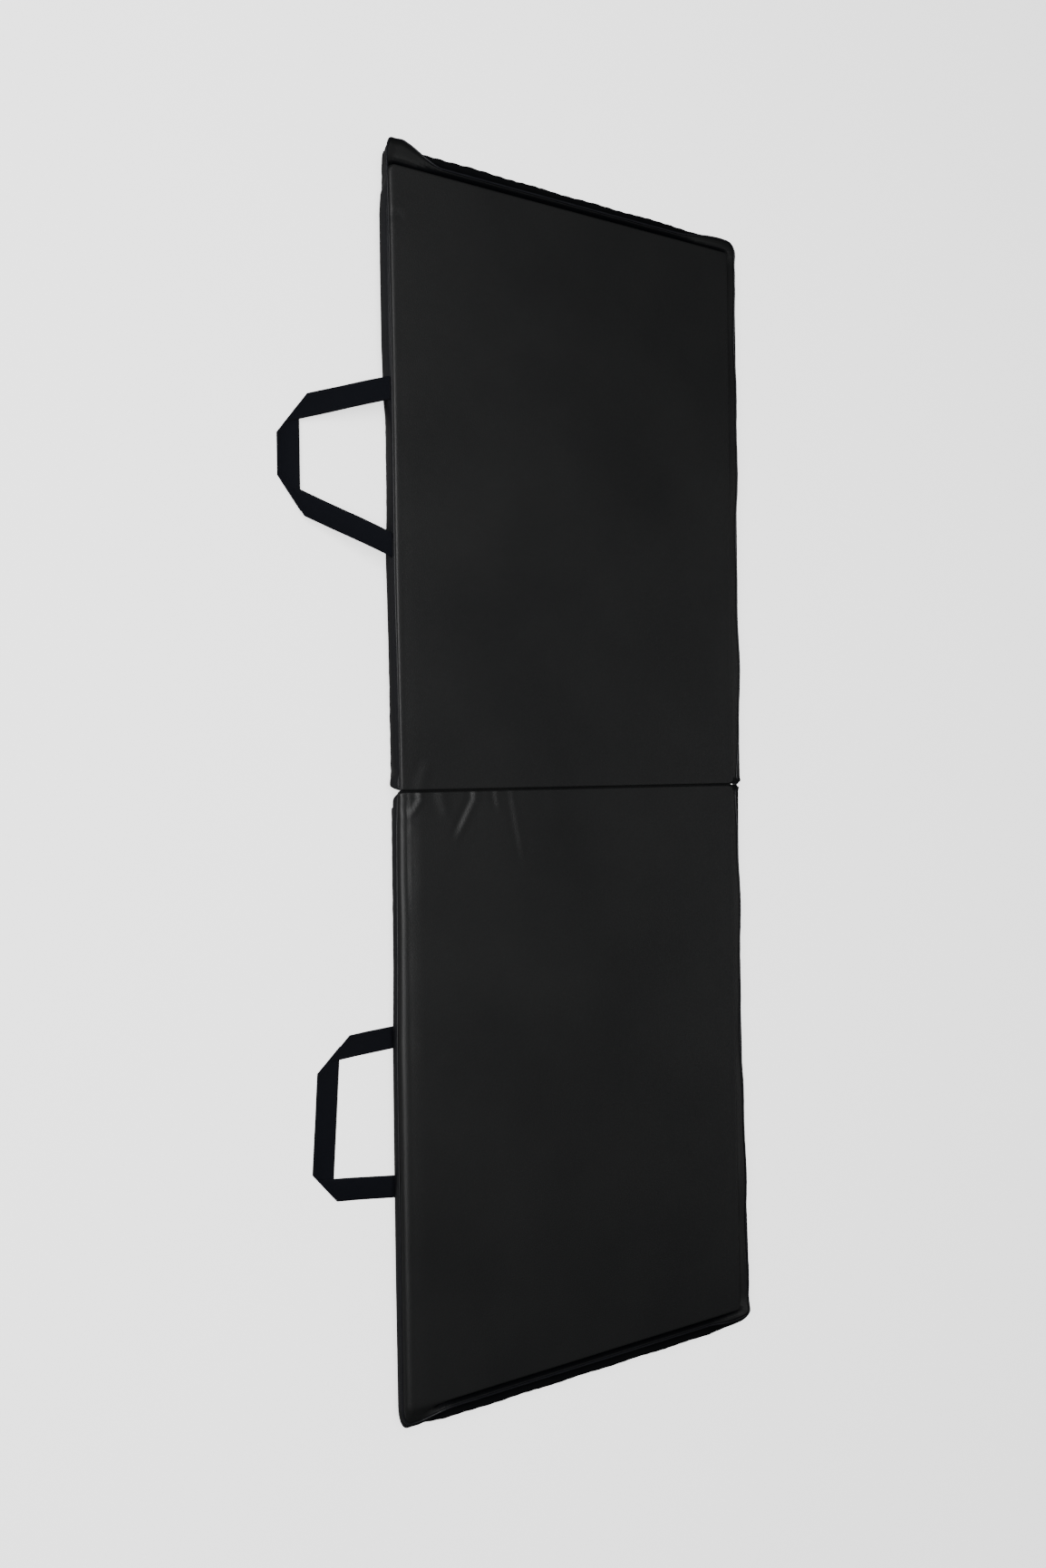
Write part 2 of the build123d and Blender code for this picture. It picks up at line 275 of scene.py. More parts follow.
def end_section(style, y):
    share = (y - NEAR_Y) / (FAR_Y - NEAR_Y)
    sheet = np.array(END_SHEET, float)
    band = pair(LEAN_END_BAND, FULL_END_BAND, along(style["end_bulge"], share))
    tip = 1 - 0.06 * style["lobe"] * (1 - smooth(y - NEAR_Y, 0.012, 0.024))
    for corner_y, (ear_sheet, ear_band, reach, strength) in (
        (NEAR_Y, style["near_ear"]),
        (FAR_Y, style["far_ear"]),
    ):
        t = strength * (1 - smooth(abs(y - corner_y), 0.012, reach))
        sheet = mix(sheet, np.array(ear_sheet, float), t)
        band = mix(band, np.array(ear_band, float), t)
    band[0] = sheet[-1]
    band[:, 0] *= tip
    sheet[4:, 0] *= tip
    stitches = math.sin(2 * math.pi * y / 0.0215 + 1.7 * math.sin(y * 31))
    pucker = style["pucker"] * 0.9 * stitches + 0.5 * math.sin(y * 61 + 1)
    band[:, 0] += pucker * np.array([0.0, 0.25, 0.5, 0.75, 1.0, 1.0, 0.9])
    return join_section(sheet, band)


def far_section(style, a):
    sheet, band = np.array(FAR_SHEET, float), np.array(FAR_BAND, float)
    at_fold = 1 - smooth(a, 0.015, 0.09)
    sheet[:, 0] = mix(sheet[:, 0], np.minimum(sheet[:, 0], 14 + 0.25 * sheet[:, 0]), at_fold)
    sag = 1.4 * math.sin(a * 17 + style["seed"]) + 0.8 * math.sin(a * 41)
    sheet[4:, 1] += sag * np.array([0.3, 0.7, 1.0, 0.8])
    sheet[5:, 0] += 0.6 * sag * np.array([0.5, 0.8, 1.0])
    shift = along(style["far_shift"], a)
    sheet[:, 0] += shift * np.linspace(0, 1, len(sheet))
    band[:, 0] += shift
    band[0] = sheet[-1]
    return join_section(sheet, band)


def fold_section(style, y):
    band = np.array(FOLD_BAND, float)
    upright = style["knob"] * (1 - smooth(y - NEAR_Y, 0.014, 0.05))
    band[:, 0] *= 1 - upright
    return join_section(FOLD_SHEET, band)


# ---------------------------------------------------------------- the faces' own relief

# Creases in the face: ends (distance from the fold, distance from the near edge), width and height
# of the ridge, and of the valley beside it, in millimetres
RIGHT_CREASES = [
    ((6, 122), (74, 84), 7.0, 1.5, -1.3),
    ((10, 34), (40, 12), 7.0, 1.2, -1.4),
    ((22, 10), (60, 20), 8.0, 0.5, -0.5),
    ((5, 62), (40, 76), 12.0, 0.9, -0.3),
    ((4, 150), (30, 158), 6.0, 0.8, -0.6),
    ((6, 178), (118, 200), 8.0, 0.7, -0.5),
    ((3, 240), (60, 262), 14.0, 0.35, -0.2),
    ((3, 330), (70, 345), 16.0, 0.3, -0.2),
]
LEFT_CREASES = [
    ((800, 0), (788, 22), 5.0, -1.1, 0.5),
    ((4, 30), (46, 48), 12.0, 0.4, -0.3),
    ((3, 300), (60, 320), 18.0, 0.3, -0.2),
]


def crease_height(a, b, crease):
    (a0, b0), (a1, b1), width, ridge, valley = crease
    da, db = a1 - a0, b1 - b0
    length = math.hypot(da, db)
    t = ((a - a0) * da + (b - b0) * db) / length**2
    side = ((b - b0) * da - (a - a0) * db) / length
    taper = smooth(t, -0.12, 0.12) * (1 - smooth(t, 0.55, 1.05))
    up = np.exp(-((side / width) ** 2) * 2.2)
    down = np.exp(-(((side + width * 1.1) / width) ** 2) * 2.0)
    return taper * (ridge * up + valley * down)


def face_height(style, a, y):
    """Height of the padded face, in metres, at a distance a from the fold and at y."""
    am, bm = a / MM, (y - NEAR_Y) / MM
    seed = style["seed"]
    h = 0.16 * waves(am, bm, 240, seed) + 0.07 * waves(am, bm, 90, seed + 1)
    creases = RIGHT_CREASES if style["sign"] > 0 else LEFT_CREASES
    for crease in creases:
        h = h + crease_height(am, bm, crease)
    roll = np.interp(am, [0, 60, 200, 420, 600, 860], [1.25, 1.3, 0.9, 0.55, 0.4, 0.3])
    waver = 1 + 0.35 * waves(am, 0 * am, 120, seed + 3)
    edge = np.clip(1 - bm / 34, 0, 1) ** 2
    h = h - style["edge_drop"] * roll * waver * edge
    far_edge = np.clip(1 - ((FAR_Y - y) / MM) / 40, 0, 1) ** 2
    h = h - 0.5 * far_edge
    fold_edge = np.clip(1 - am / 22, 0, 1) ** 2
    h = h - 0.25 * fold_edge
    top = FACE_Z / MM
    height = np.minimum(top - 0.35 + h, top + 0.55)
    inside = np.minimum(np.minimum(bm, am * 2), np.minimum((FACE_END - a) / MM, (FAR_Y - y) / MM))
    floor = FOAM_TOP / MM + 1.05 - np.clip(FOAM_BEVEL - inside, 0, None) * 1.2
    softness = 0.3
    return (floor + softness * np.logaddexp(0, (height - floor) / softness)) * MM


# ---------------------------------------------------------------- building a panel's cover


def corner_path(r):
    """Points round a rounded square corner, as (share of the first side's reach, of the second's)."""
    straight, bend = 1 - r, r * math.pi / 2
    total = 2 * straight + bend
    out = []
    for k in range(1, CORNER_STEPS + 1):
        s = k / (CORNER_STEPS + 1) * total
        if s < straight:
            out.append((1.0, s))
        elif s < straight + bend:
            angle = (s - straight) / r
            out.append((1 - r + r * math.cos(angle), 1 - r + r * math.sin(angle)))
        else:
            out.append((total - s, 1.0))
    return out


OUTWARD = {NEAR: (0, -1), END: (1, 0), FAR: (0, 1), FOLD: (-1, 0)}


def perimeter(na, ny, rounds):
    """Round the face's grid: (i, j, side, next side, share, share of next, turn through the corner)."""
    rows = {
        NEAR: [(i, 0) for i in range(na)],
        END: [(na - 1, j) for j in range(ny)],
        FAR: [(i, ny - 1) for i in range(na - 1, -1, -1)],
        FOLD: [(0, j) for j in range(ny - 1, -1, -1)],
    }
    out = []
    for side in (NEAR, END, FAR, FOLD):
        after = (side + 1) % 4
        out += [(i, j, side, after, 1.0, 0.0, 0.0) for i, j in rows[side]]
        i, j = rows[side][-1]
        for k, (f, g) in enumerate(corner_path(rounds.get(side, CORNER_ROUND))):
            turn = (k + 1) / (CORNER_STEPS + 1)
            out.append((i, j, side, after, f, g, turn))
    return out


def cover_points(style):
    """The cover's points: the face grid, the rings round it and the underside grid."""
    a = spaced(FOLD_EDGE + INSET, FACE_END - INSET, FINE_ALONG)
    b = spaced(NEAR_Y + INSET, FAR_Y - INSET, NEAR_Y + FINE_ACROSS)
    ga, gb = np.meshgrid(a, b, indexing="ij")
    top = np.stack([ga, gb, face_height(style, ga, gb)], axis=-1)
    route = perimeter(len(a), len(b), style["round"])
    sections = {}

    def section(side, i, j):
        key = (side, i if side in (NEAR, FAR) else j)
        if key not in sections:
            make = {NEAR: near_section, END: end_section, FAR: far_section, FOLD: fold_section}[side]
            sections[key] = make(style, a[i] if side in (NEAR, FAR) else b[j])
        return sections[key]

    rings = np.zeros((LAST_RING + 1, len(route), 3))
    for n, (i, j, side, after, share, share_after, turn) in enumerate(route):
        first = section(side, i, j) * MM
        second = section(after, i, j) * MM
        t = smooth(turn, 0.0, 1.0)
        height = mix(first[:, 1], second[:, 1], t)
        height = height + (top[i, j, 2] - FACE_Z) * np.clip((height - 30 * MM) / (14 * MM), 0, 1)
        # where a side leans in past the grid's edge, everything beside it is pushed in with it
        here = {side: (first, share), after: (second, share_after)}
        place = np.zeros((LAST_RING + 1, 2)) + [a[i], b[j]]
        for edge in (NEAR, END, FAR, FOLD):
            profile = section(edge, i, j) * MM
            axis = 0 if edge in (END, FOLD) else 1
            outward = OUTWARD[edge][axis]
            limit = {NEAR: b[0], END: a[-1], FAR: b[-1], FOLD: a[0]}[edge]
            near_edge = 1 - min(abs((a[i], b[j])[axis] - limit) / LEAN_REACH, 1)
            out = profile[:, 0] + INSET
            held = np.maximum(out, LEAN_LIMIT)
            place[:, axis] -= outward * (held - out) * near_edge
            if edge in here:
                place[:, axis] += outward * held * here[edge][1]
        rings[:, n, :2] = place
        rings[:, n, 2] = height
        rings[0, n] = top[i, j]
    # the underside ends just inside the last ring, all the way round
    last, bottom = rings[-1], top.copy()
    limits = {side: np.full(len(a) if side in (NEAR, FAR) else len(b), np.nan) for side in OUTWARD}
    for n, (i, j, side, _, _, _, turn) in enumerate(route):
        if turn == 0:
            across = side in (NEAR, FAR)
            limits[side][i if across else j] = last[n, 1 if across else 0]
    along_x = ((a - a[0]) / (a[-1] - a[0]))[:, None]
    along_y = ((b - b[0]) / (b[-1] - b[0]))[None, :]
    low, high = limits[FOLD] + UNDER_MARGIN, limits[END] - UNDER_MARGIN
    bottom[..., 0] = mix(low[None, :], high[None, :], along_x)
    low, high = limits[NEAR] + UNDER_MARGIN, limits[FAR] - UNDER_MARGIN
    bottom[..., 1] = mix(low[:, None], high[:, None], along_y)
    bottom[..., 2] = 0.1 * MM
    return top, rings, bottom, route


def grid_faces(rows, columns, start, flip):
    faces = []
    for i in range(rows - 1):
        for j in range(columns - 1):
            p = start + i * columns + j
            quad = (p, p + columns, p + columns + 1, p + 1)
            faces.append(quad[::-1] if flip else quad)
    return faces


def mesh_object(name, points, faces, mirror, shade=None):
    """A smooth mesh of just the points its faces use. mirror turns the faces over."""
    used = sorted({v for face in faces for v in face})
    index = {v: k for k, v in enumerate(used)}
    clean = []
    for face in faces:
        ring = [index[v] for v in face]
        clean.append(ring[::-1] if mirror else ring)
    mesh = bpy.data.meshes.new(name)
    mesh.from_pydata([tuple(points[v]) for v in used], [], clean)
    mesh.validate()
    mesh.update()
    mesh.polygons.foreach_set("use_smooth", [True] * len(mesh.polygons))
    # the painted shade of each point, kept as an attribute for the vinyl to read
    if shade is not None:
        painted_shade = mesh.attributes.new("shade", "FLOAT", "POINT")
        painted_shade.data.foreach_set("value", np.asarray(shade, np.float32)[used])
    obj = bpy.data.objects.new(name, mesh)
    bpy.context.scene.collection.objects.link(obj)
    return obj


def groove_shade(rings, route):
    """The painted shade of each ring point: how deep it lies in the grooves, and a set shade on the bands
    under the lip of the end and far sides.
    """
    shade = np.zeros(rings.shape[:2])
    heights = rings[: SEAM_RING + 1, :, 2]
    before = np.maximum.accumulate(heights, axis=0)
    beyond = np.maximum.accumulate(heights[::-1], axis=0)[::-1]
    shade[: SEAM_RING + 1] = np.clip((np.minimum(before, beyond) - heights) / GROOVE_DEPTH, 0, 1)
    # painted shade on the bands under the lip, where shade falls
    for ring in range(SEAM_RING + 1, BACK_RING + 1):
        shade[ring] = LIP_SHADE * smooth(ring, SEAM_RING, SEAM_RING + 3)
    for n, (_, _, side, after, _, _, turn) in enumerate(route):
        shade[:, n] *= mix(GROOVED[side], GROOVED[after], turn)
    return shade


def thicken(obj, thickness):
    """Gives a sheet its thickness, inwards."""
    solid = obj.modifiers.new("thickness", "SOLIDIFY")
    solid.thickness = thickness
    solid.offset = -1.0
    return obj


def panel_cover(side):
    """The four visible parts of one panel's cover, sharing their edges."""
    style = PANELS[side]
    top, rings, bottom, route = cover_points(style)
    na, ny = top.shape[:2]
    count = len(route)
    points = np.vstack([top.reshape(-1, 3), rings[1:].reshape(-1, 3), bottom.reshape(-1, 3)])
    points[:, 0] *= style["sign"]
    # painted shade of the grooves and of the bands under the lip
    shade = np.zeros(len(points))
    shade[na * ny : na * ny + LAST_RING * count] = groove_shade(rings, route)[1:].ravel()
    ring_start = na * ny
    bottom_start = ring_start + LAST_RING * count

    def ring_index(ring, n):
        if ring == 0:
            i, j = route[n % count][:2]
            return i * ny + j
        if ring > LAST_RING:
            i, j = route[n % count][:2]
            return bottom_start + i * ny + j
        return ring_start + (ring - 1) * count + n % count

    def ring_faces(first, last, wanted):
        faces = []
        for ring in range(first, last):
            for n in range(count):
                if not wanted(n):
                    continue
                loop = [ring_index(ring, n), ring_index(ring, n + 1),
                        ring_index(ring + 1, n + 1), ring_index(ring + 1, n)]
                face = []
                for v in loop:
                    if v not in face:
                        face.append(v)
                if len(face) > 2:
                    faces.append(tuple(face[::-1]))
        return faces

    def on_fold(n):
        _, _, first, after, _, _, turn = route[n]
        if first == FOLD:
            return turn < 0.5
        return after == FOLD and turn >= 0.5

    mirror = style["sign"] < 0
    everything = lambda n: True
    front_faces = grid_faces(na, ny, 0, False) + ring_faces(0, SEAM_RING, everything)
    band_faces = ring_faces(SEAM_RING, BACK_RING, lambda n: not on_fold(n))
    fold_faces = ring_faces(SEAM_RING, BACK_RING, on_fold)
    back_faces = grid_faces(na, ny, bottom_start, True) + ring_faces(BACK_RING, LAST_RING + 1, everything)
    pieces = {
        "front": mesh_object(f"{side}_padded_face", points, front_faces, mirror, shade),
        "bands": mesh_object(f"{side}_side_band", points, band_faces, mirror, shade),
        "fold": mesh_object(f"{side}_fold_side", points, fold_faces, mirror),
        "back": mesh_object(f"{side}_underside", points, back_faces, mirror),
    }
    for piece in pieces.values():
        thicken(piece, SHEET)
    seam = rings[SEAM_RING] * [style["sign"], 1, 1]
    back = rings[BACK_RING] * [style["sign"], 1, 1]
    return pieces, seam, back, route


# ---------------------------------------------------------------- welts


def tube(name, path, radius, closed, sides=10, wobble=0.0, seed=0):
    """A round welt along a path of points, a little uneven where the stitches pull it."""
    path = np.array(path)
    count = len(path)
    if closed:
        tangent = np.roll(path, -1, axis=0) - np.roll(path, 1, axis=0)
    else:
        tangent = np.gradient(path, axis=0)
    tangent /= np.linalg.norm(tangent, axis=1)[:, None]
    up = np.array([0.0, 0.0, 1.0])
    across = np.cross(tangent, up)
    across /= np.linalg.norm(across, axis=1)[:, None]
    upward = np.cross(across, tangent)
    step = np.linalg.norm(np.diff(path, axis=0, append=path[:1]), axis=1)
    run = np.concatenate([[0], np.cumsum(step)[:-1]])
    size = radius * (1 + wobble * waves(run, 0 * run, 0.02, seed))
    points, faces = [], []
    for k in range(sides):
        angle = 2 * math.pi * k / sides
        ring = path + size[:, None] * (math.cos(angle) * across + math.sin(angle) * upward)
        points.append(ring)
    points = np.stack(points, axis=1).reshape(-1, 3)
    turns = count if closed else count - 1
    for n in range(turns):
        m = (n + 1) % count
        for k in range(sides):
            beside = (k + 1) % sides
            faces.append((n * sides + k, n * sides + beside, m * sides + beside, m * sides + k))
    if not closed:
        faces.append(tuple(range(sides))[::-1])
        faces.append(tuple((count - 1) * sides + k for k in range(sides)))
    return mesh_object(name, points, faces, False)


def outward_shift(path, distance):
    """The path moved level and outwards, away from the panel's middle."""
    middle = path.mean(axis=0)
    tangent = np.roll(path, -1, axis=0) - np.roll(path, 1, axis=0)
    normal = np.stack([tangent[:, 1], -tangent[:, 0], 0 * tangent[:, 0]], axis=1)
    normal /= np.maximum(np.linalg.norm(normal, axis=1), 1e-9)[:, None]
    facing = np.sign(np.sum(normal * (path - middle), axis=1))
    flip = np.sign(np.sum(facing))
    return path + normal * distance * flip


FRONT_WELT_RADIUS = 1.55 * MM
BACK_WELT_RADIUS = 1.75 * MM


def thin_out(path, spacing):
    """Drops points that crowd closer than spacing."""
    kept = [path[0]]
    for point in path[1:]:
        if np.linalg.norm(point - kept[-1]) >= spacing:
            kept.append(point)
    return np.array(kept)


def panel_welts(side, seam, back, route):
    """The front piping, which stops at the fold, and the back piping, which goes all the way round."""
    seed = PANELS[side]["seed"]
    outer = outward_shift(seam, 0.9 * MM)
    keep, start_corner = [], []
    for n, (_, _, first, after, _, _, turn) in enumerate(route):
        if first == FOLD:
            if turn > 0.35:
                start_corner.append(n)
        elif not (after == FOLD and turn > 0.7):
            keep.append(n)
    front_path = thin_out(np.vstack([outer[start_corner], outer[keep]]), 2.0 * MM)
    front = tube(f"{side}_front_piping", front_path, FRONT_WELT_RADIUS, False, wobble=0.10, seed=seed)
    low = outward_shift(back, 0.8 * MM)
    low[:, 2] = BACK_WELT_RADIUS + 0.25 * MM
    back_path = thin_out(low, 2.0 * MM)
    rear = tube(f"{side}_back_piping", back_path, BACK_WELT_RADIUS, True, wobble=0.12, seed=seed + 5)
    return front, rear


# ---------------------------------------------------------------- the fold


def fold_spine():
    """The narrow strip of cover that joins the two faces along the fold."""
    half, columns, rows = 1.5 * MM, 7, 160
    points, faces = [], []
    ys = np.linspace(NEAR_Y + 3 * MM, FAR_Y - 3 * MM, rows)
    for y in ys:
        for x in np.linspace(-half, half, columns):
            dip = 40.9 * MM - 0.9 * MM * math.cos(math.pi * x / half / 2)
            points.append((x, y, dip))
    for i in range(rows - 1):
        for j in range(columns - 1):
            p = i * columns + j
            faces.append((p, p + 1, p + columns + 1, p + columns))
    return thicken(mesh_object("fold_spine", points, faces, False), 0.7 * MM)


# ---------------------------------------------------------------- handles

WEB_WIDTH = 31 * MM
WEB_THICK = 1.5 * MM
LEFT_SLOPE = 13.25  # degrees down from the front seam, as in the CAD handle
HINGE_Y = {side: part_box(f"{side}_handle")[1][1] - 1 * MM for side in ("left", "right")}

# The middle line of each strap, (x, distance out from its hinge line), and how far its diagonal
# folds lie outside the inner corners, as in the CAD handles
HANDLES = {
    "left": {
        "path": [(-554.0, 0.0), (-515.0, 135.5), (-398.5, 135.5), (-340.5, 0.0)],
        "folds": [13.0, 16.0],
    },
    "right": {
        "path": [(347.0, 0.0), (353.5, 93.5), (544.0, 106.0), (558.0, 0.0)],
        "folds": [12.0, 17.5],
    },
}


def cross_point(p, p_dir, q, q_dir):
    d = q - p
    t = (d[0] * q_dir[1] - d[1] * q_dir[0]) / (p_dir[0] * q_dir[1] - p_dir[1] * q_dir[0])
    return p + t * p_dir


def left_of(direction):
    return np.array([-direction[1], direction[0]])


def strap_quads(path, folds):
    """The strap's three flat runs as corner points: two legs and the grip, each ending on a fold."""
    points = np.array(path) * MM
    half = WEB_WIDTH / 2
    runs = [(b - a) / np.linalg.norm(b - a) for a, b in zip(points, points[1:])]
    creases = []
    for corner, before, after, fold in zip(points[1:-1], runs, runs[1:], folds):
        inside = cross_point(corner - half * left_of(before), before, corner - half * left_of(after), after)
        bisector = before + after
        bisector /= np.linalg.norm(bisector)
        creases.append((inside + fold * MM * left_of(bisector), bisector))

    def edge(k, sign, crease):
        start = points[k] + sign * half * left_of(runs[k])
        return cross_point(start, runs[k], crease[0], crease[1])

    root = (np.array([0.0, 0.0]), np.array([1.0, 0.0]))
    leg_in = [edge(0, 1, root), edge(0, -1, root), edge(0, -1, creases[0]), edge(0, 1, creases[0])]
    grip = [edge(1, 1, creases[0]), edge(1, -1, creases[0]), edge(1, -1, creases[1]), edge(1, 1, creases[1])]
    leg_out = [edge(2, 1, root), edge(2, -1, root), edge(2, -1, creases[1]), edge(2, 1, creases[1])]
    return leg_in, grip, leg_out


def ribbon(quad, lift, name):
    """A woven strap run between two ends: quad is start left, start right, end right, end left."""
    sl, sr, er, el = quad
    length = 0.5 * (np.linalg.norm(el - sl) + np.linalg.norm(er - sr))
    rows, columns = max(6, int(length / (3 * MM))), 11
    top, faces, uvs = [], [], []
    for i in range(rows + 1):
        t = i / rows
        for j in range(columns):
            s = j / (columns - 1)
            flat = mix(mix(sl, sr, s), mix(el, er, s), t)
            top.append(lift(flat, t, s))
            uvs.append((s * WEB_WIDTH, t * length))
    for i in range(rows):
        for j in range(columns - 1):
            p = i * columns + j
            faces.append((p, p + 1, p + columns + 1, p + columns))
    obj = mesh_object(name, np.array(top), faces, False)
    layer = obj.data.uv_layers.new(name="UVMap")
    for loop in obj.data.loops:
        layer.data[loop.index].uv = uvs[loop.vertex_index]
    return obj


ROOT_IN = 4.0 * MM  # the webbing goes this far past the hinge line, into the seam


def left_height(out):
    """Height of the left strap's middle above the floor, at a level distance out from its hinge."""
    full = 147 * MM
    t = np.clip(out / full, -0.05, 1.0)
    return mix(36.6 * MM, 1.3 * MM, 0.45 * t + 0.55 * t * t * (3 - 2 * t))


def right_height(out):
    return 1.15 * MM + 0 * out


def strap_piece(side):
    """One handle: two legs laid over the ends of the grip, joined into a single piece."""
    spec = HANDLES[side]
    quads = strap_quads(spec["path"], spec["folds"])
    slope = math.radians(LEFT_SLOPE) if side == "left" else 0.0
    height = left_height if side == "left" else right_height
    seed = 40 if side == "left" else 50
    parts = []
    for k, (quad, layer) in enumerate(zip(quads, (1, 0, 1))):
        if k != 1:
            for n in (0, 1):
                direction = quad[n] - quad[3 - n]
                quad[n] = quad[n] + direction / np.linalg.norm(direction) * ROOT_IN

        def lift(flat, t, s, layer=layer, k=k):
            out = flat[1] * math.cos(slope)
            near_fold = t if k != 1 else 1.0
            stack = layer * smooth(near_fold, 0.55, 0.93) * (WEB_THICK * 1.08)
            cup = -0.35 * MM * (2 * s - 1) ** 2
            sway = 0.35 * MM * waves(np.array(flat[0]), np.array(flat[1]), 0.07, seed, 4)
            z = height(out) + stack + cup + max(0.0, float(sway))
            return (flat[0], HINGE_Y[side] - out, float(z))

        parts.append(ribbon(quad, lift, f"{side}_strap_{k}"))
    for part in parts:
        thicken(part, WEB_THICK)
        part.modifiers["thickness"].offset = 0.0
    # one webbing piece
    depsgraph = bpy.context.evaluated_depsgraph_get()
    for part in parts:
        mesh = bpy.data.meshes.new_from_object(part.evaluated_get(depsgraph))
        part.modifiers.clear()
        part.data = mesh
    override = {"active_object": parts[0], "selected_editable_objects": parts, "object": parts[0]}
    with bpy.context.temp_override(**override):
        bpy.ops.object.join()
    parts[0].name = f"{side}_webbing_handle"
    return parts[0]


# ---------------------------------------------------------------- materials


def new_material(name):
    material = bpy.data.materials.new(name)
    material.use_nodes = True
    nodes, links = material.node_tree.nodes, material.node_tree.links
    return material, nodes, links, nodes["Principled BSDF"]


def vinyl(name, dark, light, roughness, grain=0.35, specular=0.32):
    """Coated fabric: fine leather grain, slow changes of tone and gloss, and painted shade, near black where
    the mesh's shade attribute is high.
    """
    material, nodes, links, shader = new_material(name)
    place = nodes.new("ShaderNodeTexCoord")
    tone = nodes.new("ShaderNodeTexNoise")
    tone.inputs["Scale"].default_value = 5.5
    tone.inputs["Detail"].default_value = 4.0
    ramp = nodes.new("ShaderNodeValToRGB")
    ramp.color_ramp.elements[0].color = (*dark, 1)
    ramp.color_ramp.elements[1].color = (*light, 1)
    ramp.color_ramp.elements[0].position = 0.3
    ramp.color_ramp.elements[1].position = 0.75
    cells = nodes.new("ShaderNodeTexVoronoi")
    cells.inputs["Scale"].default_value = 900.0
    fine = nodes.new("ShaderNodeTexNoise")
    fine.inputs["Scale"].default_value = 420.0
    fine.inputs["Detail"].default_value = 5.0
    height = nodes.new("ShaderNodeMath")
    height.operation = "ADD"
    bump = nodes.new("ShaderNodeBump")
    bump.inputs["Strength"].default_value = grain
    bump.inputs["Distance"].default_value = 0.0004
    gloss = nodes.new("ShaderNodeMapRange")
    gloss.inputs["To Min"].default_value = roughness - 0.05
    gloss.inputs["To Max"].default_value = roughness + 0.07
    links.new(place.outputs["Object"], tone.inputs["Vector"])
    links.new(place.outputs["Object"], cells.inputs["Vector"])
    links.new(place.outputs["Object"], fine.inputs["Vector"])
    links.new(tone.outputs["Fac"], ramp.inputs["Fac"])
    # painted shade: the shade attribute mixes the colour towards near black navy in the grooves and under the
    # lip
    shade = nodes.new("ShaderNodeAttribute")
    shade.attribute_name = "shade"
    shaded = nodes.new("ShaderNodeMix")
    shaded.data_type = "RGBA"
    shaded.inputs["B"].default_value = (0.0012, 0.0014, 0.002, 1)
    links.new(shade.outputs["Fac"], shaded.inputs["Factor"])
    links.new(ramp.outputs["Color"], shaded.inputs["A"])
    links.new(shaded.outputs["Result"], shader.inputs["Base Color"])
    links.new(cells.outputs["Distance"], height.inputs[0])
    links.new(fine.outputs["Fac"], height.inputs[1])
    links.new(height.outputs[0], bump.inputs["Height"])
    links.new(bump.outputs["Normal"], shader.inputs["Normal"])
    links.new(tone.outputs["Fac"], gloss.inputs["Value"])
    links.new(gloss.outputs["Result"], shader.inputs["Roughness"])
    shader.inputs["Specular IOR Level"].default_value = specular
    return material


def webbing_material():
    """Woven polypropylene strap: close ribs across it, with a finer weave between them."""
    material, nodes, links, shader = new_material("navy_black_webbing")
    uv = nodes.new("ShaderNodeUVMap")
    ribs = nodes.new("ShaderNodeTexWave")
    ribs.wave_type = "BANDS"
    ribs.bands_direction = "Y"
    ribs.inputs["Scale"].default_value = 1 / (2 * math.pi) * 20 / 0.0105
    ribs.inputs["Distortion"].default_value = 0.6
    ribs.inputs["Detail"].default_value = 2.0
    ribs.inputs["Detail Scale"].default_value = 60.0
    warp = nodes.new("ShaderNodeTexWave")
    warp.wave_type = "BANDS"
    warp.bands_direction = "X"
    warp.inputs["Scale"].default_value = 1 / (2 * math.pi) * 20 / 0.009
    warp.inputs["Distortion"].default_value = 0.4
    height = nodes.new("ShaderNodeMath")
    height.operation = "MULTIPLY_ADD"
    height.inputs[1].default_value = 0.5
    bump = nodes.new("ShaderNodeBump")
    bump.inputs["Strength"].default_value = 0.7
    bump.inputs["Distance"].default_value = 0.0006
    ramp = nodes.new("ShaderNodeValToRGB")
    ramp.color_ramp.elements[0].color = (0.0012, 0.0015, 0.0028, 1)
    ramp.color_ramp.elements[1].color = (0.0042, 0.0052, 0.0095, 1)
    links.new(uv.outputs["UV"], ribs.inputs["Vector"])
    links.new(uv.outputs["UV"], warp.inputs["Vector"])
    links.new(warp.outputs["Fac"], height.inputs[0])
    links.new(ribs.outputs["Fac"], height.inputs[2])
    links.new(height.outputs[0], bump.inputs["Height"])
    links.new(ribs.outputs["Fac"], ramp.inputs["Fac"])
    links.new(ramp.outputs["Color"], shader.inputs["Base Color"])
    links.new(bump.outputs["Normal"], shader.inputs["Normal"])
    shader.inputs["Roughness"].default_value = 0.72
    shader.inputs["Specular IOR Level"].default_value = 0.14
    return material


def foam_material():
    material, nodes, links, shader = new_material("grey_foam")
    place = nodes.new("ShaderNodeTexCoord")
    cells = nodes.new("ShaderNodeTexVoronoi")
    cells.inputs["Scale"].default_value = 700.0
    ramp = nodes.new("ShaderNodeValToRGB")
    ramp.color_ramp.elements[0].color = (0.20, 0.20, 0.21, 1)
    ramp.color_ramp.elements[1].color = (0.36, 0.36, 0.37, 1)
    bump = nodes.new("ShaderNodeBump")
    bump.inputs["Strength"].default_value = 0.5
    bump.inputs["Distance"].default_value = 0.0006
    links.new(place.outputs["Object"], cells.inputs["Vector"])
    links.new(cells.outputs["Distance"], ramp.inputs["Fac"])
    links.new(cells.outputs["Distance"], bump.inputs["Height"])
    links.new(ramp.outputs["Color"], shader.inputs["Base Color"])
    links.new(bump.outputs["Normal"], shader.inputs["Normal"])
    shader.inputs["Roughness"].default_value = 0.95
    return material


def paint(obj, material):
    obj.data.materials.clear()
    obj.data.materials.append(material)


